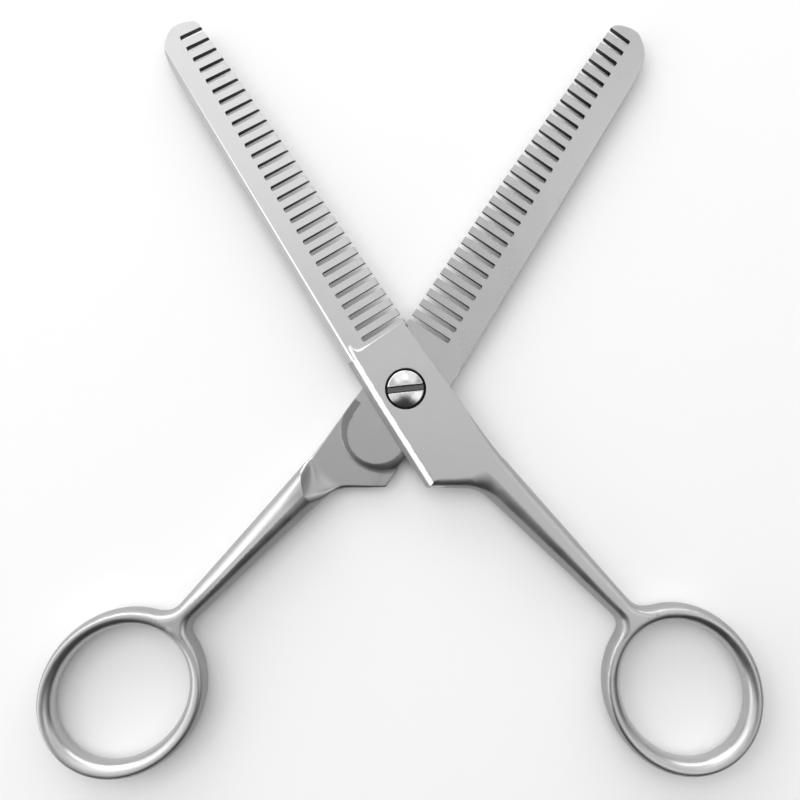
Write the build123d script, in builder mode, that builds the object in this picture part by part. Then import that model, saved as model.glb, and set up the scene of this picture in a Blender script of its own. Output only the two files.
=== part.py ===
from build123d import *
from math import cos, radians, sin
import os

# Double-sided thinning shears, lying open on their side.
#
# Millimetres. The origin is on the pivot axis, on the plane the shears rest on. +Z is up, the blades
# point to +Y and the rings to -Y. The two halves meet on the ride plane, at half the height of the rings.
#
# Each half is one forging and is drawn in its own plane: the plane's X runs across the blade towards the
# teeth, its Y runs along the toothed edge towards the tip, and its Z runs outwards from the ride plane.
# The lower half is the upper one turned over about the Y axis.

os.makedirs("parts", exist_ok=True)

# ---------------------------------------------------------------- driving dimensions
half_height = 2.4              # ride plane to the outer face of a lock, shank or ring
half_angle = 34.7              # toothed edge of each half from +Y, at rest
lower_shift = -0.2             # the lower forging is drilled this far off its middle
ride_gap = 0.02                # ride plane to the ride face of each half
blade_gap = 0.05               # ride plane to the inner face of each blade

# blade
bolster_y = 9.85               # pivot axis to the step between lock and blade
bow_y = 42.0                   # the toothed edge is bowed, widest here
tip_y = 75.75                  # pivot axis to the end of the blade
edge_x = (6.73, 7.05, 6.72)    # pivot axis to the tooth tips, at the bolster, bow and tip
spine_x = -6.43                # pivot axis to the spine, level with the pivot
blade_slope = 0.063            # the spine of the blade nears the teeth by this much per mm
lock_slope = 0.043             # the same for the spine of the lock
spine_thick = (2.05, 1.88, 1.7)  # blade thickness near the spine, at the bolster, bow and tip
edge_thick = (1.35, 1.17, 1.0)   # blade thickness at the tooth tips
spine_bevel = 1.2              # width of the bevel along the spine
spine_bevel_drop = 1.15
edge_bevel = 0.35              # bevel on the outer side of the tooth tips
blade_overlap = 0.5            # the blade runs into the lock by this much
shoulder = (-0.9, 2.5)         # a point on the rounded end of the blade, back from the tip
crown_x = 2.6                  # where the end of the blade is square to the teeth
nose = (0.7, 1.0)              # the nose meets the corner here, in from the teeth and the tip
corner_end = 2.0               # and the corner meets the line of the teeth here
tip_bend = 10.5                # the end of the blade starts to turn this far from the tip

# teeth
slot_count = 29
slot_width = 0.93
slot_round = 0.25              # radius of the corners at the root of a slot
first_slot_y = 11.4
last_slot_y = 73.25
slot_to_spine = 4.3            # the roots of the slots lie on a line parallel to the spine
slot_past_edge = 1.0           # the slot cutter runs past the tooth tips by this much
upper_lean = (3.0, 8.0)        # lean of the first and last slot towards the pivot, degrees
lower_lean = (2.0, 0.0)

# lock and heel
lock_edge_x = 6.35             # edge side of the lock at the bolster
lock_edge_end = (6.85, -12.5)  # end of the straight edge side of the lock
bolster_r = 1.5                # rounded inner corner of the bolster step, beside the spine bevel
heel_y = -16.3
heel_bevel = 1.9               # bevel along the spine of the lock
heel_bevel_drop = 1.2
bevel_overlap = 0.5            # the cutter of the bevel starts outside the spine by this much
bevel_ends = (4.0, 1.0)        # and runs past the bolster and the heel by these
relief = 0.35                  # depth of the relief behind the ride plateau
plateau_r = 7.0
plateau_y = -8.6
rise_start_y = -20.6           # where the inner face leaves the relief
rise_end_y = -26.2             # where the shank has its full height
inner_cut = 1.0                # the cutters of the inner side are this much larger all round
cutter_reach = 20.0            # and reach this far to both sides of the pivot

# shank
shank_edge_slope = 0.12        # edge side of the shank, mm across per mm along
shank_heel_slope = 0.2125      # heel side of the shank
bend_end = (7.52, -22.0)       # end of the bend between lock and shank
shank_heel = (1.9, -28.0)      # a point on the heel side of the shank
crotch = (0.63, -22.05)        # corner between heel and shank, before rounding
crotch_r = 6.0
rounding = 1.2                 # rounded edges of shank and ring
rounded_from_y = -10.0         # the rounding starts here; the lock keeps its sharp edges

# rings: centre, half width and half length of the middle of the band, and turn from the half's axes
band_width = 3.05
upper_ring = ((10.0, -71.8), (12.2, 14.15), -6.8)
lower_ring = ((10.8, -72.97), (12.5, 14.5), 8.9)
half_turn = 180                # starts the ring's outline on the side away from the shank
fork_r = 3.0                   # concave corners where the shank meets the ring
fork_zone = 5.0                # the shank's sides run into the ring within this length

# pivot screw and washer
head_r = 3.25
head_rim = 0.95                # straight side of the head
dome_rise = 0.5
screw_slot_width = 1.15
screw_slot_depth = 0.85
screw_slot_tilt = 6.4
counterbore_r = 3.62
counterbore_depth = 1.15
shoulder_r = 2.2
thread_r = 1.8
bore_gap = 0.04                # radial clearance of the screw in its bores
thread_end_gap = 0.1           # the screw ends this far above the rest plane
washer_thick = 0.22
washer_r = 3.1
washer_dish = 0.08             # height of the cone of the dished washer
washer_gap = 0.02              # washer to the floor of the counterbore
thread_chamfer = 0.3


def half_plane(turned_over, shift=0.0):
    """The plane of one half: X towards the teeth, Y along the toothed edge, Z outwards."""
    side = -1 if turned_over else 1
    towards_teeth = Vector(side * cos(radians(half_angle)), sin(radians(half_angle)), 0)
    return Plane(
        origin=Vector(0, 0, half_height) + towards_teeth * shift,
        x_dir=towards_teeth,
        z_dir=(0, 0, side),
    )


def across(plane, y):
    """A plane across the half at y: its X is the half's X, its Y is the half's Z."""
    origin = plane.origin + plane.y_dir * y
    return Plane(origin=origin, x_dir=plane.x_dir, z_dir=-plane.y_dir)


def along(plane):
    """The plane of the side view: its X is the half's Y, its Y is the half's Z."""
    return Plane(origin=plane.origin, x_dir=plane.y_dir, z_dir=plane.x_dir)


def spine_at(y):
    return spine_x + (blade_slope if y > 0 else lock_slope) * y


def make_blade(plane, lean):
    """Tapered blade with a spine bevel, a bevelled toothed edge and a rounded tip."""
    root_y = bolster_y - blade_overlap
    with BuildPart() as blade:
        for y, edge, thick, thin in zip(
            (root_y, bow_y, tip_y + 1.0), edge_x, spine_thick, edge_thick
        ):
            back = spine_at(y)
            with BuildSketch(across(plane, y)):
                with BuildLine():
                    Polyline(
                        (back, blade_gap),
                        (edge, blade_gap),
                        (edge, thin - edge_bevel),
                        (edge - edge_bevel, thin),
                        (back + spine_bevel, thick),
                        (back, thick - spine_bevel_drop),
                        close=True,
                    )
                make_face()
        loft(ruled=True)

        # rounded tip
        with BuildSketch(plane):
            with BuildLine():
                bend_y = tip_y - tip_bend
                back_line = Line((spine_at(root_y), root_y), (spine_at(bend_y), bend_y))
                turn = Spline(
                    back_line @ 1,
                    (shoulder[0], tip_y - shoulder[1]),
                    (crown_x, tip_y),
                    tangents=(back_line % 1, (1, 0)),
                )
                end = TangentArc(turn @ 1, (edge_x[2] - nose[0], tip_y - nose[1]), tangent=(1, 0))
                corner = TangentArc(end @ 1, (edge_x[2], tip_y - corner_end), tangent=end % 1)
                Polyline(corner @ 1, (edge_x[1], bow_y), (edge_x[0], root_y), back_line @ 0)
            make_face()
        extrude(amount=half_height, mode=Mode.INTERSECT)

        # slots between the teeth, their roots parallel to the spine
        with BuildSketch(plane):
            for number in range(slot_count):
                done = number / (slot_count - 1)
                y = first_slot_y + done * (last_slot_y - first_slot_y)
                angle = lean[0] + done * (lean[1] - lean[0])
                root_x = spine_at(y) + slot_to_spine
                length = edge_x[1] + slot_past_edge - root_x
                middle_x = root_x + cos(radians(angle)) * length / 2
                middle_y = y - sin(radians(angle)) * length / 2
                with Locations((middle_x, middle_y)):
                    RectangleRounded(length, slot_width, slot_round, rotation=-angle)
        extrude(amount=half_height, mode=Mode.SUBTRACT)
    return blade.part


def make_handle(plane, ring):
    """Lock, heel, shank and ring of one half, before its bore."""
    (ring_x, ring_y), (ring_a, ring_b), ring_turn = ring
    shank_end_y = ring_y + ring_b
    shank_edge_x = bend_end[0] + shank_edge_slope * (bend_end[1] - shank_end_y)
    shank_inner_x = shank_heel[0] + shank_heel_slope * (shank_heel[1] - shank_end_y)
    heel = (spine_at(heel_y), heel_y)
    bevel_x = spine_at(bolster_y) + spine_bevel

    with BuildPart() as handle:
        # plan of the whole handle, at the full height of the ring
        with BuildSketch(plane):
            with BuildLine():
                Line((bevel_x + bolster_r, bolster_y), (lock_edge_x, bolster_y))
                edge_side = Line((lock_edge_x, bolster_y), lock_edge_end)
                bend = TangentArc(lock_edge_end, bend_end, tangent=edge_side % 1)
                Polyline(bend @ 1, (shank_edge_x, shank_end_y), (shank_inner_x, shank_end_y))
                FilletPolyline((shank_inner_x, shank_end_y), crotch, heel, radius=crotch_r)
                spine_end = (spine_at(bolster_y + bolster_r), bolster_y + bolster_r)
                Polyline(heel, (spine_x, 0), spine_end, (bevel_x, bolster_y + bolster_r))
                RadiusArc(
                    (bevel_x, bolster_y + bolster_r), (bevel_x + bolster_r, bolster_y), bolster_r
                )
            make_face()
            with Locations((ring_x, ring_y)):
                Ellipse(ring_a + band_width / 2, ring_b + band_width / 2, rotation=half_turn + ring_turn)
            fork = [v for v in vertices() if shank_end_y < v.Y < shank_end_y + fork_zone]
            fillet(fork, radius=fork_r)
            with Locations((ring_x, ring_y)):
                Ellipse(
                    ring_a - band_width / 2,
                    ring_b - band_width / 2,
                    rotation=ring_turn,
                    mode=Mode.SUBTRACT,
                )
        extrude(amount=half_height, both=True)

        # rounded edges of heel, shank and ring; the lock keeps its sharp edges
        rims = [
            edge
            for edge in faces().filter_by(Axis.Z).edges()
            if plane.to_local_coords(edge @ 0.5).Y < rounded_from_y
        ]
        fillet(rims, radius=rounding)

        # inner side: cut back to the ride plane, with a hollow rise to the full height of the shank
        floor = ride_gap + relief
        past_bolster_y = bolster_y + bolster_r + inner_cut
        behind_plateau_y = plateau_y - plateau_r - inner_cut
        with BuildSketch(along(plane)):
            with BuildLine():
                rise = TangentArc(
                    (rise_start_y, floor), (rise_end_y, -half_height), tangent=(-1, 0)
                )
                Polyline(
                    rise @ 1,
                    (rise_end_y, -half_height - inner_cut),
                    (past_bolster_y, -half_height - inner_cut),
                    (past_bolster_y, ride_gap),
                    (behind_plateau_y, ride_gap),
                    (behind_plateau_y, floor),
                    rise @ 0,
                )
            make_face()
        extrude(amount=cutter_reach, both=True, mode=Mode.SUBTRACT)

        # relief round the end of the ride plateau
        with BuildSketch(plane.offset(ride_gap)):
            with Locations((0, (plateau_y + behind_plateau_y) / 2)):
                Rectangle(2 * cutter_reach, plateau_y - behind_plateau_y)
            with Locations((0, plateau_y)):
                Circle(plateau_r, mode=Mode.SUBTRACT)
        extrude(amount=relief, mode=Mode.SUBTRACT)

        # bevel along the spine of the lock
        lift = bevel_overlap * heel_bevel_drop / heel_bevel
        for y in (bolster_y + bevel_ends[0], 0, heel_y - bevel_ends[1]):
            outside = spine_at(y) - bevel_overlap
            with BuildSketch(across(plane, y)):
                with BuildLine():
                    Polyline(
                        (outside, half_height - heel_bevel_drop - lift),
                        (spine_at(y) + heel_bevel + bevel_overlap, half_height + lift),
                        (outside, half_height + lift),
                        close=True,
                    )
                make_face()
        loft(ruled=True, mode=Mode.SUBTRACT)
    return handle.part


upper_plane = half_plane(turned_over=False)
lower_plane = half_plane(turned_over=True)
drilled_plane = half_plane(turned_over=True, shift=lower_shift)

with BuildPart() as upper_half:
    add(make_handle(upper_plane, upper_ring))
    add(make_blade(upper_plane, upper_lean))
    with Locations(upper_plane.offset(half_height)):
        CounterBoreHole(shoulder_r + bore_gap, counterbore_r, counterbore_depth)
upper_half.part.label = "upper_half"

with BuildPart() as lower_half:
    add(make_handle(drilled_plane, lower_ring))
    add(make_blade(drilled_plane, lower_lean))
    with Locations(lower_plane.offset(half_height)):
        Hole(thread_r + bore_gap)
lower_half.part.label = "lower_half"

washer_z = 2 * half_height - counterbore_depth + washer_gap
head_z = washer_z + washer_dish + washer_thick

with BuildPart() as pivot_screw:
    with BuildSketch(Plane.XZ):
        with BuildLine():
            rim_top = (head_r, head_z + head_rim)
            dome_top = (0, head_z + head_rim + dome_rise)
            shoulder_z = half_height + ride_gap
            TangentArc(dome_top, rim_top, tangent=(1, 0))
            Polyline(
                rim_top,
                (head_r, head_z),
                (shoulder_r, head_z),
                (shoulder_r, shoulder_z),
                (thread_r, shoulder_z),
                (thread_r, thread_end_gap + thread_chamfer),
                (thread_r - thread_chamfer, thread_end_gap),
                (0, thread_end_gap),
                dome_top,
            )
        make_face()
    revolve(axis=Axis.Z)
    with BuildSketch(Plane.XY.offset(dome_top[1] - screw_slot_depth)):
        Rectangle(2 * head_r + 1, screw_slot_width, rotation=screw_slot_tilt)
    extrude(amount=screw_slot_depth, mode=Mode.SUBTRACT)
pivot_screw.part.label = "pivot_screw"

with BuildPart() as tension_washer:
    with BuildSketch(Plane.XZ):
        with BuildLine():
            inner = shoulder_r + bore_gap
            Polyline(
                (washer_r, washer_z),
                (washer_r, washer_z + washer_thick),
                (inner, washer_z + washer_thick + washer_dish),
                (inner, washer_z + washer_dish),
                close=True,
            )
        make_face()
    revolve(axis=Axis.Z)
tension_washer.part.label = "tension_washer"

for piece in (upper_half, lower_half, pivot_screw, tension_washer):
    export_step(piece.part, f"parts/{piece.part.label}.step")
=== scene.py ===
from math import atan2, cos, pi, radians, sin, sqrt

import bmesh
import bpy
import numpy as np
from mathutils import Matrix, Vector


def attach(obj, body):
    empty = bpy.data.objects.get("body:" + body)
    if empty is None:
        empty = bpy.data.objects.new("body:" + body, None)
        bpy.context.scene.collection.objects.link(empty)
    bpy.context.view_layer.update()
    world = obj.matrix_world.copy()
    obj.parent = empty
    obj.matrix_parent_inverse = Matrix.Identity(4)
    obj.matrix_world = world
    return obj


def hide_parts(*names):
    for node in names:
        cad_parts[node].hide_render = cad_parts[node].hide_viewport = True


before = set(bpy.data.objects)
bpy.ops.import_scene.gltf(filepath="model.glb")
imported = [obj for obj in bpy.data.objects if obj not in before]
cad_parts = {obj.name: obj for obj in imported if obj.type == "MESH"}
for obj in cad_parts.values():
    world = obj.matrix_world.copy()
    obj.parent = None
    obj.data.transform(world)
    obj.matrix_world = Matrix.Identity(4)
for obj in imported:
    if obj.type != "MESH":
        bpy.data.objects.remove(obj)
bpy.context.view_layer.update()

# Double-sided thinning shears lying open on a pale table, seen from above.
#
# Every shape below is drawn in millimetres in the plane of one half, as in the CAD model: x runs across the
# blade towards the teeth, y runs along the toothed edge towards the tip, z runs outwards from the ride plane,
# and the pivot axis is at x = y = 0. A handle is one solid given by a function, negative inside and positive
# outside; contour() turns such a function into a mesh that keeps its sharp edges.

MM = 0.001

# ---------------------------------------------------------------- driving dimensions, as in the CAD model
HALF_HEIGHT = 2.4
HALF_ANGLE, LOWER_SHIFT = 34.7, -0.2
RIDE_GAP, BLADE_GAP = 0.02, 0.05
SKIN = 0.01  # outer faces stay this far inside the CAD model's
OUTER_Z = HALF_HEIGHT - SKIN

BOLSTER_Y, BOLSTER_R, BOLSTER_FROM_SPINE = 9.85, 1.5, 2.0  # end of the lock
BOW_Y, TIP_Y = 42.0, 75.75
EDGE_X = (6.73, 7.05, 6.72)  # x of the tooth tips: at the lock, at the bow and at the tip
SPINE_X, BLADE_SLOPE, LOCK_SLOPE = -6.43, 0.063, 0.043  # spine: x at the pivot, and x per y on either side
BLADE_OVERLAP = 0.5
SLOT_COUNT, SLOT_WIDTH, SLOT_ROUND = 29, 0.93, 0.25
FIRST_SLOT_Y, LAST_SLOT_Y = 11.4, 73.25
SLOT_TO_SPINE = 4.3
UPPER_LEAN, LOWER_LEAN = (3.0, 8.0), (2.0, 0.0)  # lean of the first and the last slot, in degrees
# Tip: the spine bends over the shoulder (x, drop) and the crown to the nose (in from the tooth tips, drop) and
# the last tooth. TIP_BEND, CORNER_END and the drops are measured down from TIP_Y; the tangents lead from the
# bend to the shoulder and from there to the crown.
TIP_BEND, SHOULDER, CROWN_X, NOSE, CORNER_END = 10.5, (-0.9, 2.5), 2.6, (0.7, 1.0), 2.0
TIP_TANGENTS = ((0.5, 7.6), (3.1, 4.6)), ((1.9, 2.7), (3.4, 0.0))

# Walls of the lock and the shank, here fitted by lines and a bend that run close to the CAD model's
LOCK_EDGE_X, LOCK_EDGE_SLOPE = 6.55, -0.02  # edge side of the lock: x at the pivot, and x per y
SHANK_TURN_Y, SHANK_TURN, SHANK_TURN_SOFT = -16.6, 0.1, 3.0  # where it turns out along the shank
HEEL_Y = -16.3
CROTCH = (0.63, -22.05)
SHANK_AT, SHANK_SLOPE = (1.9, -28.0), 0.2125  # heel side of the shank: a point, and -x per y
MIDDLE_AT, MIDDLE_SLOPE = (4.8, -25.0), 0.164  # middle of the shank, in the same way
# Section of a ring's band: width, just under the CAD model's, how far out its crest is, and how full it is
BAND, CREST_OUT, BAND_POWER = 3.03, 0.5, 2.1
# Middle line of a ring's band: centre x and y, half width, half length, and turn in degrees
UPPER_RING = (10.0, -71.8, 12.2, 14.15, -6.8)
LOWER_RING = (10.8, -72.97, 12.5, 14.5, 8.9)

HEAD_R, HEAD_BOTTOM, HEAD_RIM, DOME_RISE = 3.25, 3.97, 0.95, 0.5  # the screw's heights are above the table
RIM_TOP = HEAD_BOTTOM + HEAD_RIM
SCREW_SLOT_WIDTH, SCREW_SLOT_DEPTH, SCREW_SLOT_TILT = 1.15, 0.85, 6.4
COUNTERBORE_R, COUNTERBORE_DEPTH = 3.62, 1.15
SHOULDER_R, THREAD_R, BORE_GAP = 2.2, 1.8, 0.04
THREAD_END, THREAD_PITCH, THREAD_DEPTH, THREAD_CHAMFER = 0.1, 0.5, 0.14, 0.3
SCREW_OVERLAP = 0.3  # each length of the screw reaches this far up into the next

# ---------------------------------------------------------------- finer shapes, drawn only here
PLATEAU = (-0.14, -9.57, 5.1)  # round end of the ride plateau: centre and radius
RELIEF = (-0.6, -7.2, 8.9)  # round end of the relief about it
RELIEF_DEPTH = 0.22
RELIEF_FADE = (-2.0, -8.0)  # the relief deepens between these two y
ROLL_FROM_SPINE, ROLL, ROLL_SOFT = 1.6, 0.28, 0.6  # the inner face rolls away towards the spine
RISE_START, RISE_END = -20.6, -26.2  # the inner face rises here from the ride plane to the full height
SLANT, SLANT_FROM_X, SLANT_TO_X, SLANT_SOFT = 1.3, 4.4, 7.5, 1.2  # earlier end of the rise per x
START_SLANT = 0.4  # how much of that its start has
WAIST = 0.4  # a side wall is upright up to about this height

# How softly one side passes into the next, in millimetres: a larger value is a wider, rounder join
WALL_SOFT, CROTCH_SOFT, SPINE_SOFT, FACET_SOFT, ROOT_SOFT, FORK_SOFT = 0.1, 2.0, 0.05, 0.06, 0.15, 3.2
HEAD_SOFT, UNDER_HEAD_SOFT, SLOT_SOFT, COUNTERBORE_SOFT = 0.22, 0.05, 0.14, 0.06
# How far the side walls lean in at the full height: (y, inset), for the heel (x, inset)
EDGE_INSET = ((-60, 0.55), (-48, 0.6), (-36, 0.8), (-24, 0.9), (-20, 0.8), (-7, 0.1), (20, 0.05))
SHANK_INSET = ((-60, 1.2), (-50, 1.3), (-40, 1.7), (-30, 2.0), (-22, 2.3))
HEEL_INSET = ((-7.0, 0.1), (-2, 0.3), (0.6, 0.6), (3, 1.6))
# How softly the outer and the inner face roll into those walls: (y, softness)
OUTER_EDGE_SOFT = ((-62, 0.05), (-55, 0.6), (-30, 0.8), (-20, 0.6), (-12, 0.3), (-5, 0.1))
OUTER_HEEL_SOFT = (
    (-62, 0.05), (-55, 0.7), (-45, 0.85), (-24, 1.1), (-20, 1.9), (-16.5, 1.7), (-15.5, 0.5), (-12, 0.2),
)
INNER_LOCK_SOFT = ((-24, 1.4), (-21, 0.9), (-16, 0.3), (-10, 0.15))
INNER_EDGE_SOFT = ((-62, 0.05), (-55, 1.1), (-45, 2.5), (-30, 2.5), *INNER_LOCK_SOFT)
INNER_HEEL_SOFT = ((-62, 0.05), (-55, 0.8), (-45, 1.0), (-30, 1.0), *INNER_LOCK_SOFT)
# Bevels along the spine of the lock, (y, z) or (y, distance): a steep facet from LOW to MID, then a broad one
LOW_Z = ((-17, 0.5), (10, 0.45), (13, 0.4))
MID_Z = ((-17, 1.55), (10, 1.55), (13, 1.35))
MID_IN = -0.85
TOP_IN = ((-17, -1.9), (10, -1.9), (13, -2.1))
# End of the lock: a cove down to the blade, (x, width), and a root that is left within the blade
COVE_WIDTH = ((-3.0, 0.8), (-0.5, 0.3))
COVE_END, COVE_DROP, ROOT_END_Y, ROOT_Z = 0.9, 0.02, 11.8, 0.4
ROOT_TOP = ((BOLSTER_Y + 1.0, 2.6), (BOLSTER_Y + 2.2, 1.9))

# Outer side of the blade, its heights at the lock and at the tip. The flat face starts FACE_AT from the spine
# and falls by FACE_ACROSS and FACE_ALONG; a narrow and a steep bevel follow towards the spine.
FACE_AT, FACE_FROM_Y, FACE_ACROSS, FACE_ALONG = 1.2, 9.9, 0.0652, 0.0019
FACE_Z, FACE_TIP_Z = 2.04, 1.7
NARROW_AT, NARROW_TIP_AT, NARROW_Z, NARROW_DROP = 0.85, 1.0, 1.75, 0.01
STEEP_Z, STEEP_TIP_Z = 0.74, 0.5
TEETH_X, TEETH_BEVEL, TEETH_FACE_Z, TEETH_Z, TEETH_TIP_Z = 6.9, 0.35, 1.35, 1.0, 0.85
# Inner side of the blade: a hollow beside a flat band at the tooth tips
FLAT_BAND, HOLLOW_WIDTH, HOLLOW_DEPTH, HOLLOW_STRIPS = 1.4, 10.5, 0.10, 8
FINE_BEVEL, SHARP_DEGREES = 0.06, 33

# Which faces count as walls: normals' z below LEANING, or x beyond SIDEWAYS; where the dull walls begin, whose
# darker tint is painted shade; and how far up the step round the plateau the groove gets painted shade
LEANING, SIDEWAYS, UPWARDS = 0.72, 0.3, 0.8
HEEL_DULL_Y, EDGE_DULL_Y = -18.0, -4.0
STEP_SHADE_SPAN, STEP_SHADE_BELOW_Y = (0.08, 0.6), -6.5
BEVELS_WIDTH = 2.2
# Places of the materials on a half, in the order of HALF_MATERIALS
ON_SATIN, ON_PAINTED_SHADE, ON_GROUND, ON_RIDE, ON_STEP_SHADE, ON_DULL_AND_SHADED, ON_POLISHED = range(7)
FLAT = 1e-4  # two heights closer than this are the same


# ---------------------------------------------------------------- shaping functions
def smooth_max(a, b, k):
    """The larger of two values, rounded off where they differ by less than k."""
    h = np.clip(0.5 + 0.5 * (a - b) / k, 0, 1)
    return b + (a - b) * h + k * h * (1 - h)


def smooth_min(a, b, k):
    """The smaller of two values, rounded off in the same way."""
    return -smooth_max(-a, -b, k)


def ramp(t, width):
    """0 below t = 0 and t above it, with a soft corner."""
    return t / 2 + np.sqrt(t * t + width * width) / 2


def through(t, *stations):
    """A value interpolated between (t, value) stations given in rising order."""
    return np.interp(t, [s[0] for s in stations], [s[1] for s in stations])


def ellipse(x, y, a, b):
    """Distance to an ellipse about the origin, negative inside, exact near the curve."""
    q = np.sqrt((x / a) ** 2 + (y / b) ** 2) + 1e-9
    slope = np.sqrt((x / a**2) ** 2 + (y / b**2) ** 2) / q + 1e-9
    return (q - 1) / slope


def facet(d, z, low, high):
    """Distance to a slanting plane through low and high, two (d, z) points; d is negative inside."""
    run = low[0] - high[0]
    rise = high[1] - low[1]
    return ((d - low[0]) * rise + (z - low[1]) * run) / np.sqrt(run * run + rise * rise)


def spine_at(y):
    """x of the spine."""
    return SPINE_X + np.where(np.asarray(y) > 0, BLADE_SLOPE, LOCK_SLOPE) * y


def edge_at(y):
    """x of the tooth tips, on a slight bow."""
    return through(y, (BOLSTER_Y - BLADE_OVERLAP, EDGE_X[0]), (BOW_Y, EDGE_X[1]), (TIP_Y + 1.0, EDGE_X[2]))


# ---------------------------------------------------------------- the handle of one half
def edge_side(x, y):
    """Distance to the edge side of lock and shank."""
    turned_out = SHANK_TURN * ramp(SHANK_TURN_Y - y, SHANK_TURN_SOFT)
    return x - LOCK_EDGE_X - LOCK_EDGE_SLOPE * y - turned_out


def spine_side(x, y):
    """Distance to the spine."""
    return (spine_at(y) - x) / sqrt(1 + BLADE_SLOPE**2)


def heel_side(x, y):
    """Distance to the line from the heel to the crotch."""
    heel = (spine_at(HEEL_Y), HEEL_Y)
    run, drop = CROTCH[0] - heel[0], heel[1] - CROTCH[1]
    return ((heel[0] - x) * drop + (heel[1] - y) * run) / sqrt(run**2 + drop**2)


def shank_side(x, y):
    """Distance to the heel side of the shank."""
    return (SHANK_AT[0] - SHANK_SLOPE * (y - SHANK_AT[1]) - x) / sqrt(1 + SHANK_SLOPE**2)


def heelwards(x, y):
    """0 on the edge side of the shank's middle, 1 on its heel side."""
    return np.clip(0.5 + MIDDLE_AT[0] - MIDDLE_SLOPE * (y - MIDDLE_AT[1]) - x, 0, 1)


def softness(x, y, edge_soft, heel_soft):
    """How softly a face rolls into the side walls, from the stations for either side."""
    near_edge = through(y, *edge_soft)
    return near_edge + (through(y, *heel_soft) - near_edge) * heelwards(x, y)


def bolster(x, y):
    """Distance to the end of the lock, which curves up into the bevel along the spine."""
    across = spine_at(BOLSTER_Y) + BOLSTER_FROM_SPINE + BOLSTER_R - x
    up = BOLSTER_Y + BOLSTER_R - y
    round_part = np.hypot(np.maximum(across, 0), np.maximum(up, 0))
    return BOLSTER_R - round_part - np.minimum(np.maximum(across, up), 0)


def rounded_wall(d, z, inset):
    """A side wall that leans in by inset at the full height, above and below."""
    height = np.sqrt(z * z + WAIST**2) - WAIST
    return (d + inset * height / HALF_HEIGHT) / np.sqrt(1 + (inset / HALF_HEIGHT) ** 2)


def oval(d, z):
    """Distance to the section of a ring's band, its crest nearer to the outside of the ring.
    d runs across the band, outwards from the middle, and z along its height."""
    power = BAND_POWER
    a = np.where(d > CREST_OUT, BAND / 2 - CREST_OUT, BAND / 2 + CREST_OUT)
    u, v = np.abs(d - CREST_OUT) / a + 1e-6, np.abs(z) / OUTER_Z + 1e-6
    q = (u**power + v**power) ** (1 / power)
    slope = q ** (1 - power) * np.sqrt((u ** (power - 1) / a) ** 2 + (v ** (power - 1) / OUTER_Z) ** 2)
    return (q - 1) / slope


def beyond_round_end(x, y, centre_x, centre_y, radius):
    """Distance to a strip along y that ends in a half circle at its centre, negative inside."""
    return np.hypot(x - centre_x, np.minimum(y - centre_y, 0)) - radius


def groove(x, y):
    """0 on the ride plateau, 1 in the relief round its end, rising across the step between them."""
    from_inner = beyond_round_end(x, y, *PLATEAU)
    from_outer = beyond_round_end(x, y, *RELIEF)
    return np.clip(from_inner / np.maximum(from_inner - from_outer, 1e-6), 0, 1)


def rise_slant(x):
    """How much earlier the rise to the shank ends near the edge side."""
    return SLANT * ramp(np.minimum(x, SLANT_TO_X) - SLANT_FROM_X, SLANT_SOFT)


def inner_face(x, y):
    """Height of the face turned to the other half: ride plateau, relief and the rise to the shank."""
    t = groove(x, y)
    fade = np.clip((RELIEF_FADE[0] - y) / (RELIEF_FADE[0] - RELIEF_FADE[1]), 0, 1)
    hollow = RELIEF_DEPTH * t * t * (3 - 2 * t) * fade
    roll = ROLL * ramp(ROLL_FROM_SPINE + spine_side(x, y), ROLL_SOFT) * fade * np.clip(t * 1.5, 0, 1)
    slant = rise_slant(x)
    start, end = RISE_START + START_SLANT * slant, RISE_END + slant
    up = np.clip((start - y) / (start - end), 0, 1)
    face = RIDE_GAP + hollow + roll
    return face - (face + OUTER_Z) * up * up * (3 - up) / 2


def blade_face(x, y):
    """Height of the outer face of the blade."""
    across, along = x - spine_at(FACE_FROM_Y) - FACE_AT, y - FACE_FROM_Y
    return FACE_Z - FACE_ACROSS * across - FACE_ALONG * along


def shank_and_lock(x, y, z):
    """The side walls of the shank and the lock."""
    edge = rounded_wall(edge_side(x, y), z, through(y, *EDGE_INSET))
    heel = rounded_wall(heel_side(x, y), z, through(x, *HEEL_INSET))
    shank = rounded_wall(shank_side(x, y), z, through(y, *SHANK_INSET))
    body = smooth_max(edge, smooth_min(heel, shank, CROTCH_SOFT), WALL_SOFT)
    return smooth_max(body, spine_side(x, y), SPINE_SOFT)


def spine_bevels(x, y, z):
    """The steep and the broad facet along the spine of the lock."""
    spine = spine_side(x, y)
    bend, mid = MID_IN, through(y, *MID_Z)
    steep = facet(spine, z, (0.0, through(y, *LOW_Z)), (bend, mid))
    broad = facet(spine, z, (bend, mid), (through(y, *TOP_IN), HALF_HEIGHT))
    return smooth_max(steep, broad, FACET_SOFT)


def end_of_lock(body, x, y, z):
    """Cuts the lock's end: a cove down to the blade's face, then the root that lies within the blade."""
    past = bolster(x, y)
    cove = np.clip(1 - past / through(x, *COVE_WIDTH), 0, 1)
    floor = blade_face(x, y) - COVE_DROP
    step = floor + (HALF_HEIGHT - floor) * (1 - np.sqrt(np.maximum(1 - cove * cove, 0)))
    body = np.maximum(body, np.where(past < 0, -5.0, z - step))
    body = np.maximum(body, past - COVE_END)
    body = smooth_max(body, z - through(y, *ROOT_TOP), ROOT_SOFT)
    body = np.maximum(body, y - ROOT_END_Y)
    return np.where(y > BOLSTER_Y - 0.1, np.maximum(body, ROOT_Z - z), body)


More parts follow.
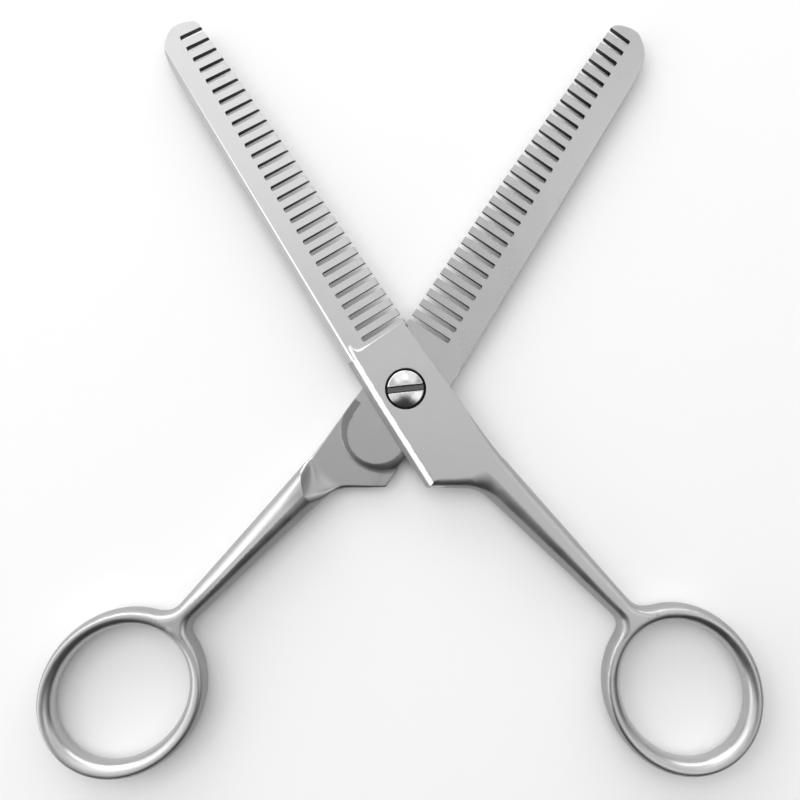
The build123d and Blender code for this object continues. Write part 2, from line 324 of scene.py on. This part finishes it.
def handle(ring, shift, bore_r, counterbored):
    """The solid of lock, shank and ring, as a function of points."""
    ring_x, ring_y, ring_a, ring_b, ring_turn = ring
    turn = radians(ring_turn)

    def solid(p):
        x, y, z = p[:, 0], p[:, 1], p[:, 2]
        shank_end = 0.9 * (ring_y + ring_b - y)  # at the near end of the ring
        body = np.maximum(shank_and_lock(x, y, z), shank_end)
        # ring, with concave corners where the shank meets it
        u, v = x - ring_x, y - ring_y
        across = ellipse(u * cos(turn) + v * sin(turn), v * cos(turn) - u * sin(turn), ring_a, ring_b)
        body = smooth_min(body, oval(np.maximum(across, CREST_OUT), z), FORK_SOFT)
        body = np.where(across < CREST_OUT, np.maximum(body, oval(across, z)), body)
        # outer side
        body = smooth_max(body, z - OUTER_Z, softness(x, y, OUTER_EDGE_SOFT, OUTER_HEEL_SOFT))
        body = smooth_max(body, spine_bevels(x, y, z), SPINE_SOFT)
        body = end_of_lock(body, x, y, z)
        # inner side
        body = smooth_max(body, inner_face(x, y) - z, softness(x, y, INNER_EDGE_SOFT, INNER_HEEL_SOFT))
        # bore
        r = np.hypot(x + shift, y)
        body = np.maximum(body, bore_r - r)
        if counterbored:
            pocket = np.minimum(COUNTERBORE_R - r, z - HALF_HEIGHT + COUNTERBORE_DEPTH)
            body = smooth_max(body, pocket, COUNTERBORE_SOFT)
        return body

    return solid


# ---------------------------------------------------------------- from a solid to a mesh
def slope_of(solid, points, step=0.012):
    """Unit normals of a solid's level surfaces at some points."""
    normals = np.empty_like(points)
    for axis in range(3):
        shift = np.zeros(3)
        shift[axis] = step
        normals[:, axis] = solid(points + shift) - solid(points - shift)
    length = np.linalg.norm(normals, axis=1, keepdims=True)
    return normals / np.maximum(length, 1e-12)


def contour(solid, low, high, step):
    """Mesh of the surface of a solid: one vertex in each cell of a grid that the surface crosses,
    set where the tangent planes at the crossings meet, so that edges and corners stay sharp."""
    axes = [np.arange(a, b + step, step) for a, b in zip(low, high)]
    shape = np.array([len(a) for a in axes])
    corner = np.stack(np.meshgrid(*axes, indexing="ij"), -1)
    value = solid(corner.reshape(-1, 3)).reshape(shape)
    strides = np.array([shape[1] * shape[2], shape[2], 1])
    cells, points = [], []
    for axis in range(3):
        first = np.take(value, range(shape[axis] - 1), axis)
        second = np.take(value, range(1, shape[axis]), axis)
        where = np.argwhere((first < 0) != (second < 0))
        others = [k for k in range(3) if k != axis]
        where = where[(where[:, others[0]] > 0) & (where[:, others[1]] > 0)]
        at = tuple(where.T)
        near, far = corner[at], corner[at].copy()
        far[:, axis] += step
        f_near, f_far = first[at], second[at]
        for _ in range(4):  # closes in on the crossing
            t = f_near / (f_near - f_far)
            middle = near + np.clip(t, 0.1, 0.9)[:, None] * (far - near)
            f_middle = solid(middle)
            same = (f_middle < 0) == (f_near < 0)
            near = np.where(same[:, None], middle, near)
            f_near = np.where(same, f_middle, f_near)
            far = np.where(same[:, None], far, middle)
            f_far = np.where(same, f_far, f_middle)
        t = f_near / (f_near - f_far)
        points.append(near + t[:, None] * (far - near))
        back = np.eye(3, dtype=int)[others]
        around = [where - back[0] - back[1], where - back[1], where, where - back[0]]
        cells.append(np.stack([a @ strides for a in around], 1))

    # for each cell, the point nearest to all the tangent planes of its crossings
    points, cells = np.concatenate(points), np.concatenate(cells)
    normals = slope_of(solid, points)
    ids, index = np.unique(cells, return_inverse=True)
    index = index.reshape(cells.shape)
    count = np.bincount(index.ravel(), minlength=len(ids))

    def total(values):
        return np.bincount(index.ravel(), np.repeat(values, 4), minlength=len(ids))

    centre = np.stack([total(points[:, k]) for k in range(3)], 1) / count[:, None]
    reach = np.einsum("ij,ij->i", normals, points)
    square = np.empty((len(ids), 3, 3))
    for i in range(3):
        for j in range(3):
            square[:, i, j] = total(normals[:, i] * normals[:, j])
    side = np.stack([total(normals[:, i] * reach) for i in range(3)], 1)
    side -= np.einsum("nij,nj->ni", square, centre)
    square += np.eye(3) * 0.03  # holds the vertex near the crossings where they leave it free
    vertices = centre + np.linalg.solve(square, side[:, :, None])[:, :, 0]
    cell_low = corner.reshape(-1, 3)[ids]
    vertices = np.clip(vertices, cell_low, cell_low + step)
    diagonals = [vertices[index[:, k + 2]] - vertices[index[:, k]] for k in range(2)]
    spread = np.cross(*diagonals)
    outward = np.einsum("ij,ij->i", spread, normals) > 0
    return vertices, np.where(outward[:, None], index, index[:, ::-1])


def corner_normals(solid, vertices, faces):
    """Normals for the corners of the faces: those of the surface, split where two sides meet sharply."""
    smooth = slope_of(solid, vertices)[faces.ravel()]
    middle = vertices[faces].mean(1)
    inwards, same_side = 0.55, 14
    inside = vertices[faces] * (1 - inwards) + middle[:, None, :] * inwards
    own = slope_of(solid, inside.reshape(-1, 3))
    alike = np.einsum("ij,ij->i", smooth, own) > cos(radians(same_side))
    return np.where(alike[:, None], smooth, own)


# ---------------------------------------------------------------- the blade of one half
def arc(centre, radius, start, end, count):
    """Points on an arc, angles in degrees."""
    angles = [radians(start + (end - start) * k / count) for k in range(count + 1)]
    return [(centre[0] + radius * cos(a), centre[1] + radius * sin(a)) for a in angles]


def tangent_arc(start, heading, end, count):
    """Points on the arc that leaves start at a heading and ends at end, and the heading there."""
    chord = Vector(end) - Vector(start)
    lean = atan2(chord.y, chord.x) - heading
    points = []
    for k in range(1, count + 1):
        turned = lean * k / count
        run = chord.length * sin(turned) / sin(lean)
        points.append((start[0] + run * cos(heading + turned), start[1] + run * sin(heading + turned)))
    return points, heading + 2 * lean


def curve(a, leaving, b, arriving, count):
    """Points from a up to b, but not b, on the curve with these end tangents."""
    points = []
    for k in range(count):
        t = k / count
        h = (2 * t**3 - 3 * t**2 + 1, t**3 - 2 * t**2 + t, 3 * t**2 - 2 * t**3, t**3 - t**2)
        points.append(tuple(a * h[0] + leaving * h[1] + b * h[2] + arriving * h[3]))
    return points


def tip_outline():
    """From the spine round the end of the blade to the line of the tooth tips."""
    bend = TIP_Y - TIP_BEND
    start = Vector((spine_at(bend), bend))
    shoulder = Vector((SHOULDER[0], TIP_Y - SHOULDER[1]))
    crown = Vector((CROWN_X, TIP_Y))
    points = []
    for a, b, (leaving, arriving) in zip((start, shoulder), (shoulder, crown), TIP_TANGENTS):
        points += curve(a, Vector(leaving), b, Vector(arriving), 12)
    points.append(tuple(crown))
    nose, heading = tangent_arc(crown, 0.0, (EDGE_X[2] - NOSE[0], TIP_Y - NOSE[1]), 8)
    corner, _ = tangent_arc(nose[-1], heading, (EDGE_X[2], TIP_Y - CORNER_END), 8)
    return points + nose + corner


def blade_outline(root_y, lean):
    """Plan of the blade: up the spine, round the tip and back along the teeth."""
    outline = [(spine_at(root_y), root_y)] + tip_outline()
    half = SLOT_WIDTH / 2
    corner = half - SLOT_ROUND
    for number in reversed(range(SLOT_COUNT)):
        done = number / (SLOT_COUNT - 1)
        y = FIRST_SLOT_Y + done * (LAST_SLOT_Y - FIRST_SLOT_Y)
        angle = radians(lean[0] + done * (lean[1] - lean[0]))
        root = spine_at(y) + SLOT_TO_SPINE
        length = edge_at(y) - root
        along = [(length - half * sin(angle), half)]
        along += arc((SLOT_ROUND, corner), SLOT_ROUND, 90, 180, 3)
        along += arc((SLOT_ROUND, -corner), SLOT_ROUND, 180, 270, 3)
        along += [(length + half * sin(angle), -half)]
        for u, v in along:
            outline.append((root + u * cos(angle) + v * sin(angle), y - u * sin(angle) + v * cos(angle)))
    outline.append((edge_at(root_y), root_y))
    return outline


def cut(bm, point, normal):
    """Cuts away what lies beyond a plane and closes the cut."""
    geometry = bm.verts[:] + bm.edges[:] + bm.faces[:]
    result = bmesh.ops.bisect_plane(
        bm, geom=geometry, dist=1e-5, plane_co=point, plane_no=normal, clear_outer=True
    )
    edges = [g for g in result["geom_cut"] if isinstance(g, bmesh.types.BMEdge)]
    bmesh.ops.holes_fill(bm, edges=edges, sides=0)


def plane_of(a, b, c):
    """The plane through three points: a point on it and the normal that points up."""
    a, b, c = Vector(a), Vector(b), Vector(c)
    normal = (b - a).cross(c - a).normalized()
    return a, normal if normal.z > 0 else -normal


def cut_outer_side(bm, y0, y1):
    """Cuts the flat outer face and the bevels along the spine and the teeth, between y0 and y1."""
    back0, back1 = spine_at(y0), spine_at(y1)
    teeth = TEETH_X - TEETH_BEVEL
    face = (back0 + FACE_AT, y0, FACE_Z), (teeth, y0, TEETH_FACE_Z), (back1 + FACE_AT, y1, FACE_TIP_Z)
    narrow = (
        (back0 + FACE_AT, y0, FACE_Z - NARROW_DROP),
        (back0 + NARROW_AT, y0, NARROW_Z),
        (back1 + NARROW_TIP_AT, y1, FACE_TIP_Z - NARROW_DROP),
    )
    steep = (back0 + NARROW_AT, y0, NARROW_Z), (back0, y0, STEEP_Z), (back1, y1, STEEP_TIP_Z)
    teeth_bevel = (teeth, y0, TEETH_FACE_Z), (TEETH_X, y0, TEETH_Z), (TEETH_X, y1, TEETH_TIP_Z)
    for corners in (face, narrow, steep, teeth_bevel):
        cut(bm, *plane_of(*corners))


def hollow_inner_side(bm):
    """Hollows the inner side between the spine and a flat band at the tooth tips."""
    band_x = TEETH_X - FLAT_BAND
    for k in range(HOLLOW_STRIPS):
        x = band_x - HOLLOW_WIDTH * k / (HOLLOW_STRIPS - 1)
        low = [f for f in bm.faces if all(abs(v.co.z - BLADE_GAP) < FLAT for v in f.verts)]
        geometry = list(dict.fromkeys(g for f in low for g in [*f.verts, *f.edges, f]))
        bmesh.ops.bisect_plane(bm, geom=geometry, dist=1e-5, plane_co=(x, 0, 0), plane_no=(1, 0, 0))
    for v in bm.verts:
        if abs(v.co.z - BLADE_GAP) < FLAT:
            t = min(max((band_x - v.co.x) / HOLLOW_WIDTH, 0), 1)
            v.co.z += 4 * HOLLOW_DEPTH * t * (1 - t)


def make_blade(lean):
    """Toothed blade: flat outer side, bevels along the spine and the tooth tips, hollow inner side."""
    root_y = BOLSTER_Y - BLADE_OVERLAP
    bm = bmesh.new()
    base = bm.faces.new([bm.verts.new((x, y, BLADE_GAP)) for x, y in blade_outline(root_y, lean)])
    wall = bmesh.ops.extrude_face_region(bm, geom=[base])
    moved = [g for g in wall["geom"] if isinstance(g, bmesh.types.BMVert)]
    bmesh.ops.translate(bm, vec=(0, 0, HALF_HEIGHT), verts=moved)
    bmesh.ops.recalc_face_normals(bm, faces=bm.faces[:])
    cut_outer_side(bm, root_y, TIP_Y)
    hollow_inner_side(bm)

    # fine bevels on the sharp edges, but not at the root, which lies inside the lock
    sharp = [e for e in bm.edges if len(e.link_faces) == 2 and e.calc_face_angle() > radians(SHARP_DEGREES)]
    sharp = [e for e in sharp if not all(v.co.y < root_y + FLAT for v in e.verts)]
    bmesh.ops.bevel(
        bm, geom=sharp, offset=FINE_BEVEL, segments=1, profile=0.5, affect="EDGES", clamp_overlap=True
    )
    bmesh.ops.recalc_face_normals(bm, faces=bm.faces[:])
    return bm


# ---------------------------------------------------------------- the pivot screw
def across_slot(x, y):
    """Distance from the middle line of the screw's slot."""
    turn = radians(SCREW_SLOT_TILT)
    return np.abs(-x * sin(turn) + y * cos(turn))


def screw(p):
    """Domed slotted head, shoulder and threaded end, in world millimetres."""
    x, y, z = p[:, 0], p[:, 1], p[:, 2]
    r = np.hypot(x, y)
    dome_r = (HEAD_R**2 + DOME_RISE**2) / (2 * DOME_RISE)
    dome = np.sqrt(r * r + (z - RIM_TOP - DOME_RISE + dome_r) ** 2) - dome_r
    head = smooth_max(smooth_max(dome, r - HEAD_R, HEAD_SOFT), HEAD_BOTTOM - z, UNDER_HEAD_SOFT)
    in_slot = SCREW_SLOT_WIDTH / 2 - across_slot(x, y)
    above_floor = z - RIM_TOP - DOME_RISE + SCREW_SLOT_DEPTH
    head = smooth_max(head, np.minimum(in_slot, above_floor), SLOT_SOFT)
    shoulder = np.maximum(r - SHOULDER_R, z - HEAD_BOTTOM - SCREW_OVERLAP)
    shoulder = np.maximum(shoulder, HALF_HEIGHT + RIDE_GAP - z)
    phase = (z / THREAD_PITCH - np.arctan2(y, x) / (2 * pi)) % 1.0
    groove_depth = THREAD_DEPTH * np.abs(2 * phase - 1)
    thread = np.maximum(r - THREAD_R + groove_depth, z - HALF_HEIGHT - SCREW_OVERLAP)
    thread = np.maximum(thread, THREAD_END - z)
    chamfer = (r - THREAD_R + THREAD_CHAMFER + (THREAD_END - z)) * 0.7
    return np.minimum(np.minimum(head, shoulder), np.maximum(thread, chamfer))


# ---------------------------------------------------------------- placing the pieces
def to_world(turned_over, shift):
    """From the plane of a half, in millimetres, to the world, in metres."""
    side = -1 if turned_over else 1
    a = radians(HALF_ANGLE)
    turn = Matrix(((side * cos(a), -side * sin(a), 0), (sin(a), cos(a), 0), (0, 0, side)))
    place = Matrix.Translation((0, 0, HALF_HEIGHT)) @ turn.to_4x4()
    return Matrix.Scale(MM, 4) @ place @ Matrix.Translation((shift, 0, 0))


def place_points(matrix, points):
    """The points, moved by a matrix."""
    m = np.array(matrix)
    return points @ m[:3, :3].T + m[:3, 3]


def make_object(name, points, faces, normals, body, node, materials):
    """A piece in the world's metres, with its own normals, that replaces a CAD node and rides on a body."""
    mesh = bpy.data.meshes.new(name)
    mesh.from_pydata(points.tolist(), [], faces)
    mesh.update()
    mesh.shade_smooth()
    mesh.normals_split_custom_set(normals.tolist())
    for material in materials:
        mesh.materials.append(material)
    piece = bpy.data.objects.new(name, mesh)
    bpy.context.scene.collection.objects.link(piece)
    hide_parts(node)
    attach(piece, body)
    return piece


def handle_kinds(middle, facing, ring):
    """The material of each face of a handle, from the face's middle and the way it faces."""
    x, y, z = middle.T
    ring_x, ring_y, _, ring_b, _ = ring
    kind = np.full(len(middle), ON_SATIN, dtype=np.int32)

    inner = z < inner_face(x, y) + 0.1
    in_groove = groove(x, y)
    # painted shade: the step between the ride plateau and the relief is tinted dark
    dark = (in_groove > STEP_SHADE_SPAN[0]) & (in_groove < STEP_SHADE_SPAN[1]) & (y < STEP_SHADE_BELOW_Y)
    lock = inner & (y > rise_slant(x) + RISE_END)
    kind[lock] = ON_RIDE
    kind[lock & dark] = ON_STEP_SHADE
    kind[inner & (y > 0)] = ON_GROUND

    leaning = np.abs(facing[:, 2]) < LEANING
    above_ring = y > ring_y + ring_b
    heel_walls = leaning & above_ring & (facing[:, 0] < -SIDEWAYS) & (y < HEEL_DULL_Y)
    edge_walls = leaning & above_ring & (facing[:, 0] > SIDEWAYS) & (y < EDGE_DULL_Y)
    u, v = x - ring_x, y - ring_y
    outward = (u * facing[:, 0] + v * facing[:, 1] > 0) | (np.hypot(u, v) > ring_b)
    ring_walls = leaning & ~above_ring & outward
    # side walls of shank, heel and ring: rough finish, with a darker tint that is painted shade
    kind[heel_walls | edge_walls | ring_walls] = ON_DULL_AND_SHADED

    off_spine = x - spine_at(y)
    bevel = (off_spine < BEVELS_WIDTH) & (facing[:, 0] < -0.45) & (y > HEEL_Y - 0.5) & (z > 0.3)
    # the steep spine facet likewise: rough finish, with a darker tint that is painted shade
    kind[bevel & (off_spine < -MID_IN)] = ON_DULL_AND_SHADED
    kind[bevel & (off_spine >= -MID_IN)] = ON_POLISHED
    # painted shade: the counterbore round the screw head is near black, for the shadow in the gap
    in_counterbore = (np.hypot(x, y) < COUNTERBORE_R + 0.02) & (z < HALF_HEIGHT - 0.12)
    kind[in_counterbore & ~inner] = ON_PAINTED_SHADE
    return kind


def blade_kind(corners, facing):
    """The material of one face of a blade."""
    x, y, _ = corners.mean(0)
    root = spine_at(y) + SLOT_TO_SPINE
    if x < 3 and facing[0] < -0.5 and facing[2] > 0.4:
        return ON_POLISHED if facing[2] > 0.7 else ON_SATIN
    if corners[:, 2].max() < BLADE_GAP + 0.13:
        return ON_GROUND
    # painted shade: slot walls that face back along the blade, and the slot roots, are near black
    between_teeth = root - 0.1 < x < edge_at(y) - 0.05 and abs(facing[2]) < 0.3
    if between_teeth and (facing[1] < -0.5 or facing[0] > 0.5):
        return ON_PAINTED_SHADE
    return ON_SATIN


def make_half(name, node, ring, lean, shift, turned_over, bore_r, counterbored):
    """One half: the handle from its function and the blade, joined in one mesh."""
    solid = handle(ring, shift, bore_r, counterbored)
    ring_x, ring_y, ring_a, ring_b, _ = ring
    low = (SPINE_X - 1.77, ring_y - ring_b - MARGIN, -MARGIN)
    high = (ring_x + ring_a + MARGIN, BOLSTER_Y + 3.5, MARGIN)
    vertices, faces = contour(solid, low, high, GRID)
    normals = corner_normals(solid, vertices, faces)
    bm = make_blade(lean)
    blade_points = np.array([v.co[:] for v in bm.verts])
    blade_faces = [[v.index for v in f.verts] for f in bm.faces]
    blade_facing = np.array([f.normal[:] for f in bm.faces])
    bm.free()
    blade_normals = np.repeat(blade_facing, [len(f) for f in blade_faces], axis=0)
    points = np.concatenate([vertices, blade_points])
    every_face = faces.tolist() + [[i + len(vertices) for i in f] for f in blade_faces]
    every_normal = np.concatenate([normals, blade_normals])
    matrix = to_world(turned_over, shift)
    turn = np.array(matrix)[:3, :3] / MM
    piece = make_object(
        name, place_points(matrix, points), every_face, every_normal @ turn.T,
        node, node, HALF_MATERIALS,
    )
    kinds = handle_kinds(vertices[faces].mean(1), normals.reshape(-1, 4, 3).mean(1), ring).tolist()
    kinds += [blade_kind(blade_points[f], facing) for f, facing in zip(blade_faces, blade_facing)]
    piece.data.polygons.foreach_set("material_index", kinds)


def make_screw():
    """The screw, with painted shade in its slot: near black on the walls, dark grey on the floor."""
    points, faces = contour(screw, *SCREW_BOX, SCREW_GRID)
    normals = corner_normals(screw, points, faces)
    piece = make_object(
        "pivot_screw_detail", points * MM, faces.tolist(), normals,
        "pivot_screw", "pivot_screw", SCREW_MATERIALS,
    )
    x, y, z = points[faces].mean(1).T
    aside = across_slot(x, y)
    upwards = normals.reshape(-1, 4, 3).mean(1)[:, 2] > UPWARDS
    # painted shade: the slot's faces take the near-black steel, and its floor takes the dark grey one
    in_slot = (aside < SCREW_SLOT_WIDTH / 2 + 0.02) & (z < RIM_TOP - 0.05) & (z > 4.4)
    shaded_slot_floor = in_slot & upwards & (aside < SCREW_SLOT_WIDTH / 2 - 0.15)
    piece.data.polygons.foreach_set("material_index", in_slot.astype(np.int32) + shaded_slot_floor)


# ---------------------------------------------------------------- materials
CLOUD_SCALE, CLOUD_RANGE, TINT_SPREAD = 260.0, (0.2, 0.8), 0.03
GRAIN_SCALE, GRAIN_DEPTH = 5200.0, 0.00001


def steel(name, tint, roughness, spread, scratch):
    """Ground steel: a fine grain of the strength scratch, and cloudiness in its roughness and its tint."""
    material = bpy.data.materials.new(name)
    material.use_nodes = True
    nodes, links = material.node_tree.nodes, material.node_tree.links
    shader = nodes["Principled BSDF"]
    shader.inputs["Metallic"].default_value = 1.0
    place = nodes.new("ShaderNodeTexCoord")

    cloud = nodes.new("ShaderNodeTexNoise")
    cloud.inputs["Scale"].default_value = CLOUD_SCALE
    cloud.inputs["Detail"].default_value = 2.0
    links.new(place.outputs["Object"], cloud.inputs["Vector"])
    rough = nodes.new("ShaderNodeMapRange")
    rough.inputs["From Min"].default_value = CLOUD_RANGE[0]
    rough.inputs["From Max"].default_value = CLOUD_RANGE[1]
    rough.inputs["To Min"].default_value = roughness - spread
    rough.inputs["To Max"].default_value = roughness + spread
    links.new(cloud.outputs["Fac"], rough.inputs["Value"])
    links.new(rough.outputs["Result"], shader.inputs["Roughness"])

    colour = nodes.new("ShaderNodeMapRange")
    colour.data_type = "FLOAT_VECTOR"
    from_min, from_max, to_min, to_max = (colour.inputs[number] for number in (7, 8, 9, 10))
    for k in range(3):
        from_min.default_value[k] = CLOUD_RANGE[0]
        from_max.default_value[k] = CLOUD_RANGE[1]
        to_min.default_value[k] = tint[k] * (1 - TINT_SPREAD)
        to_max.default_value[k] = tint[k] * (1 + TINT_SPREAD)
    links.new(cloud.outputs["Fac"], colour.inputs["Vector"])
    links.new(colour.outputs["Vector"], shader.inputs["Base Color"])

    grain = nodes.new("ShaderNodeTexNoise")
    grain.inputs["Scale"].default_value = GRAIN_SCALE
    grain.inputs["Detail"].default_value = 2.0
    links.new(place.outputs["Object"], grain.inputs["Vector"])
    bump = nodes.new("ShaderNodeBump")
    bump.inputs["Strength"].default_value = scratch
    bump.inputs["Distance"].default_value = GRAIN_DEPTH
    links.new(grain.outputs["Fac"], bump.inputs["Height"])
    links.new(bump.outputs["Normal"], shader.inputs["Normal"])
    return material


def plain(name, colour, roughness):
    """One colour, not metal."""
    material = bpy.data.materials.new(name)
    material.use_nodes = True
    shader = material.node_tree.nodes["Principled BSDF"]
    shader.inputs["Base Color"].default_value = (*colour, 1)
    shader.inputs["Roughness"].default_value = roughness
    return material


# ---------------------------------------------------------------- build
GRID = 0.2
MARGIN = 3.0  # room for the grid round a handle
SCREW_GRID, SCREW_BOX = 0.1, ((-3.7, -3.7, -0.4), (3.7, 3.7, 5.8))
SATIN = steel("satin_steel", (0.50, 0.50, 0.504), 0.34, 0.05, 0.25)
POLISHED = steel("polished_steel", (0.60, 0.60, 0.60), 0.22, 0.04, 0.1)
GROUND = steel("ground_steel", (0.43, 0.43, 0.433), 0.28, 0.02, 0.08)
RIDE = steel("ride_steel", (0.38, 0.38, 0.383), 0.3, 0.02, 0.08)
# dark steel: painted shade on the step between the ride plateau and the relief
STEP_SHADE = steel("step_shade_steel", (0.2, 0.2, 0.2), 0.34, 0.05, 0.2)
# dark grey steel: painted shade on the floor of the screw's slot
SLOT_FLOOR_SHADE = steel("slot_floor_shade_steel", (0.12, 0.12, 0.12), 0.4, 0.05, 0.3)
# rougher steel for side walls and the steep spine facet; its darker tint is painted shade
DULL_AND_SHADED = steel("dull_and_shaded_steel", (0.40, 0.40, 0.402), 0.55, 0.05, 0.3)
# near-black steel: painted shade for the gap round the screw head, for slot walls between the teeth and for
# the screw's slot
PAINTED_SHADE = steel("painted_shade_steel", (0.03, 0.03, 0.03), 0.5, 0.08, 0.3)
WASHER = steel("washer_steel", (0.55, 0.55, 0.55), 0.3, 0.05, 0.2)
HALF_MATERIALS = (SATIN, PAINTED_SHADE, GROUND, RIDE, STEP_SHADE, DULL_AND_SHADED, POLISHED)
SCREW_MATERIALS = (POLISHED, PAINTED_SHADE, SLOT_FLOOR_SHADE)

make_half(
    "upper_shear_half", "upper_half", UPPER_RING, UPPER_LEAN, 0.0, False, SHOULDER_R + BORE_GAP, True
)
make_half(
    "lower_shear_half", "lower_half", LOWER_RING, LOWER_LEAN, LOWER_SHIFT, True, THREAD_R + BORE_GAP, False
)
make_screw()
washer = bpy.data.objects["tension_washer"]
washer.data.materials.clear()
washer.data.materials.append(WASHER)

# ---------------------------------------------------------------- table, light and camera
TABLE_REACH = 3.0
DOME_R = 1.3
WORLD_STRENGTH = 0.03
CAMERA_AT = (-0.98, -1.96, 151.9)
LENS = 37.8

floor_mesh = bpy.data.meshes.new("table_top")
floor_corners = [(TABLE_REACH * x, TABLE_REACH * y, 0) for x, y in ((-1, -1), (1, -1), (1, 1), (-1, 1))]
floor_mesh.from_pydata(floor_corners, [], [(0, 1, 2, 3)])
floor = bpy.data.objects.new("table_top", floor_mesh)
floor_mesh.materials.append(plain("table_white", (0.9, 0.9, 0.9), 0.8))
bpy.context.scene.collection.objects.link(floor)


def softbox(name, location, width, height, power):
    """A rectangular light turned towards the shears."""
    light = bpy.data.lights.new(name, "AREA")
    light.shape = "RECTANGLE"
    light.size, light.size_y, light.energy = width, height, power
    lamp = bpy.data.objects.new(name, light)
    lamp.location = location
    lamp.rotation_euler = (-Vector(location)).to_track_quat("-Z", "Y").to_euler()
    bpy.context.scene.collection.objects.link(lamp)


# A dome of softboxes in three rows, brightest towards the far left; the near side stays dark.
# A row is given by its angle from the zenith, the softboxes' width and height, and {azimuth: watts}.
softbox("overhead", (0.0, 0.0, DOME_R), 0.6, 0.6, 1.18)
for from_zenith, width, height, powers in (
    (28, 0.55, 0.55, {-23: 1.55, 22: 0.42, 67: 1.2, 112: 1.35, 157: 0.57, 202: 1.1}),
    (52, 0.8, 0.6, {-23: 0.55, 22: 1.8, 67: 1.3, 112: 2.9, 157: 3.9, 202: 1.5}),
    (76, 1.0, 0.5, {22: 0.85, 67: 5.2, 112: 8.4, 157: 2.6, 202: 3.4}),
):
    for azimuth, power in powers.items():
        tilt, around = radians(from_zenith), radians(azimuth)
        direction = Vector((sin(tilt) * cos(around), sin(tilt) * sin(around), cos(tilt)))
        softbox(f"dome_{from_zenith}_{azimuth}", direction * DOME_R, width, height, power)

world = bpy.data.worlds.new("studio")
world.use_nodes = True
backdrop = world.node_tree.nodes["Background"]
backdrop.inputs["Color"].default_value = (1, 1, 1, 1)
backdrop.inputs["Strength"].default_value = WORLD_STRENGTH
bpy.context.scene.world = world
bpy.context.scene.view_settings.view_transform = "Standard"

camera_data = bpy.data.cameras.new("camera")
camera_data.lens = LENS
camera_data.sensor_width = 36.0
camera_data.clip_start = 0.005
camera = bpy.data.objects.new("camera", camera_data)
camera.location = [c * MM for c in CAMERA_AT]
bpy.context.scene.collection.objects.link(camera)
bpy.context.scene.camera = camera
